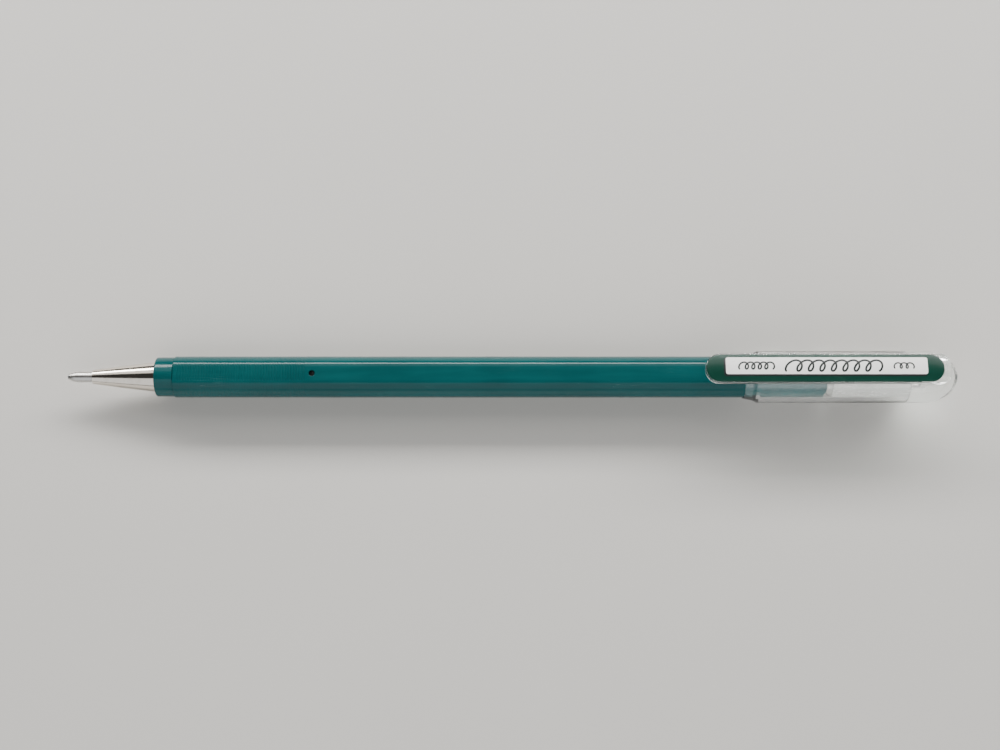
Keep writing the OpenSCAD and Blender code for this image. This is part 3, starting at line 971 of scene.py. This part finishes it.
# %% Every finish by its slot
finishes = {
    "teal_plastic": teal_plastic,
    "nickel_plate": nickel,
    "point_steel": steel,
    "spring_wire": wire,
    "ball_carbide": inked_ball(),
    "clear_plastic": clear_plastic(),
    "sleeve_plastic": milky_plastic("milky_sleeve", (0.90, 0.89, 0.87, 1), (0.84, 0.83, 0.81, 1),
                                    through=0.5, gloss=0.14),
    "tube_plastic": milky_plastic("frosted_tube", (0.62, 0.70, 0.69, 1), (0.50, 0.58, 0.57, 1),
                                  through=0.96, gloss=0.1),
    "holder_plastic": milky_plastic("holder_moulding", (0.80, 0.81, 0.80, 1), (0.66, 0.68, 0.67, 1),
                                    through=0.2, gloss=0.35),
    "badge_plastic": badge_plastic,
    "badge_print_light": printed_ink("white_print", (0.90, 0.905, 0.89, 1), (0.76, 0.77, 0.75, 1)),
    "badge_print_dark": printed_ink("dark_print", (0.012, 0.016, 0.016, 1), (0.06, 0.07, 0.07, 1)),
    "ink": thick_liquid("gel_ink", (0.000, 0.016, 0.020, 1), (0.000, 0.006, 0.009, 1),
                        gloss=0.12, swirl=2.0),
    "grease": thick_liquid("clear_grease", (0.70, 0.68, 0.52, 1), (0.55, 0.52, 0.36, 1),
                           gloss=0.1, swirl=1.2),
}

# %% Give every piece its finish
kept_nodes = {
    "ball_spring": "spring_wire", "point_holder": "holder_plastic", "check_ball": "holder_plastic",
    "ink_tube": "tube_plastic", "gel_ink": "ink", "ink_follower": "grease",
}
for node, finish in kept_nodes.items():
    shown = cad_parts[node]
    shown.data.materials.clear()
    shown.data.materials.append(finishes[finish])
for piece, finish in finish_of.items():
    piece.data.materials.clear()
    piece.data.materials.append(finishes[finish])
print(len(finish_of), "made pieces and", len(kept_nodes), "working parts have finishes")

# %% [markdown]
# ## The table, the light and the camera
# The table is plain and pale. Two long soft boxes stand on either side of the pen and run along
# it. The one behind has a narrow bright core, which draws the thin line along the edge of the
# barrel's flat, and the one in front draws the paler band on the barrel's near side. Two broad
# lights fill the colours without being seen in the gloss, so the flat stays deep and clean.

# %% Table


def table_finish():
    """Plain pale board: a very quiet grain in colour, roughness and height."""
    g = Graph("pale_table")
    cloud = g.noise(60, detail=4)
    grain = g.noise(0.6, detail=4, shift=3)
    colour = g.mix(cloud, (0.49, 0.48, 0.46, 1), (0.52, 0.51, 0.49, 1))
    normal = g.bump(grain, 0.01)
    return g.finish(g.plastic({"Base Color": colour, "Roughness": 0.5 + grain * 0.15, "Normal": normal}))


table_reach = 3.0
table_mesh = bpy.data.meshes.new("table_top")
table_corners = [(-1, -1, 0), (1, -1, 0), (1, 1, 0), (-1, 1, 0)]
table_mesh.from_pydata((np.array(table_corners) * table_reach).tolist(), [], [(0, 1, 2, 3)])
table_mesh.materials.append(table_finish())
table = bpy.data.objects.new("table_top", table_mesh)
bpy.context.scene.collection.objects.link(table)

# %% Light


def soft_box(name, place, aim, across, along_pen, power, tint, in_gloss=True):
    """A rectangular light at place, facing aim, across metres by along_pen metres, in watts."""
    lamp = bpy.data.lights.new(name, "AREA")
    lamp.shape = "RECTANGLE"
    lamp.size, lamp.size_y = along_pen, across
    lamp.energy, lamp.color = power, tint
    holder = bpy.data.objects.new(name, lamp)
    holder.location = place
    holder.rotation_mode = "QUATERNION"
    holder.rotation_quaternion = (Vector(aim) - Vector(place)).to_track_quat("-Z", "Y")
    holder.visible_camera = False
    holder.visible_glossy = in_gloss
    bpy.context.scene.collection.objects.link(holder)
    print(f"{name}: {power} W over {across} by {along_pen} m")


pen_middle = (0, 0, axis_z)
warm, cool, neutral = (1.0, 0.985, 0.96), (0.96, 0.98, 1.0), (1.0, 0.99, 0.97)
soft_box("key_box", (0, 0.41, 0.44), pen_middle, 0.50, 1.6, 3.3, warm)
soft_box("key_core", (0, 0.465, 0.315), pen_middle, 0.13, 1.6, 11.6, warm)
soft_box("front_box", (0, -0.49, 0.346), pen_middle, 0.70, 1.6, 3.8, cool)
soft_box("front_fill", (0, -0.7, 0.6), pen_middle, 0.8, 1.2, 5.0, neutral, in_gloss=False)
soft_box("overhead_fill", (0, 0.1, 1.1), pen_middle, 1.2, 1.2, 0.4, neutral, in_gloss=False)
world = bpy.data.worlds.new("room")
world.use_nodes = True
room = world.node_tree.nodes["Background"].inputs
room["Color"].default_value = (0.75, 0.74, 0.72, 1)
room["Strength"].default_value = 0.05
bpy.context.scene.world = world

# %% [markdown]
# The camera looks down on the pen from its clear side, a little off straight down, and is close
# enough for some perspective. Its target is a point on the pen, moved up slightly in the view.

# %% Camera
camera_tilt = math.radians(77.3)
camera_away = 0.275
aim_along, aim_up = 79.25, 0.37
up_in_view = Vector((0, math.sin(camera_tilt), math.cos(camera_tilt)))
target = Vector((tip_x + aim_along * MM, 0, axis_z)) + up_in_view * aim_up * MM
towards_camera = Vector((0, -math.cos(camera_tilt), math.sin(camera_tilt)))
lens = bpy.data.cameras.new("camera")
lens.lens, lens.sensor_width = 54, 36
lens.clip_start, lens.clip_end = 0.01, 20
camera = bpy.data.objects.new("camera", lens)
camera.location = target + towards_camera * camera_away
camera.rotation_mode = "QUATERNION"
camera.rotation_quaternion = (-towards_camera).to_track_quat("-Z", "Y")
bpy.context.scene.collection.objects.link(camera)
bpy.context.scene.camera = camera
print(f"camera {camera_away * 1000:.0f} mm away, {math.degrees(camera_tilt):.1f} degrees above the table")
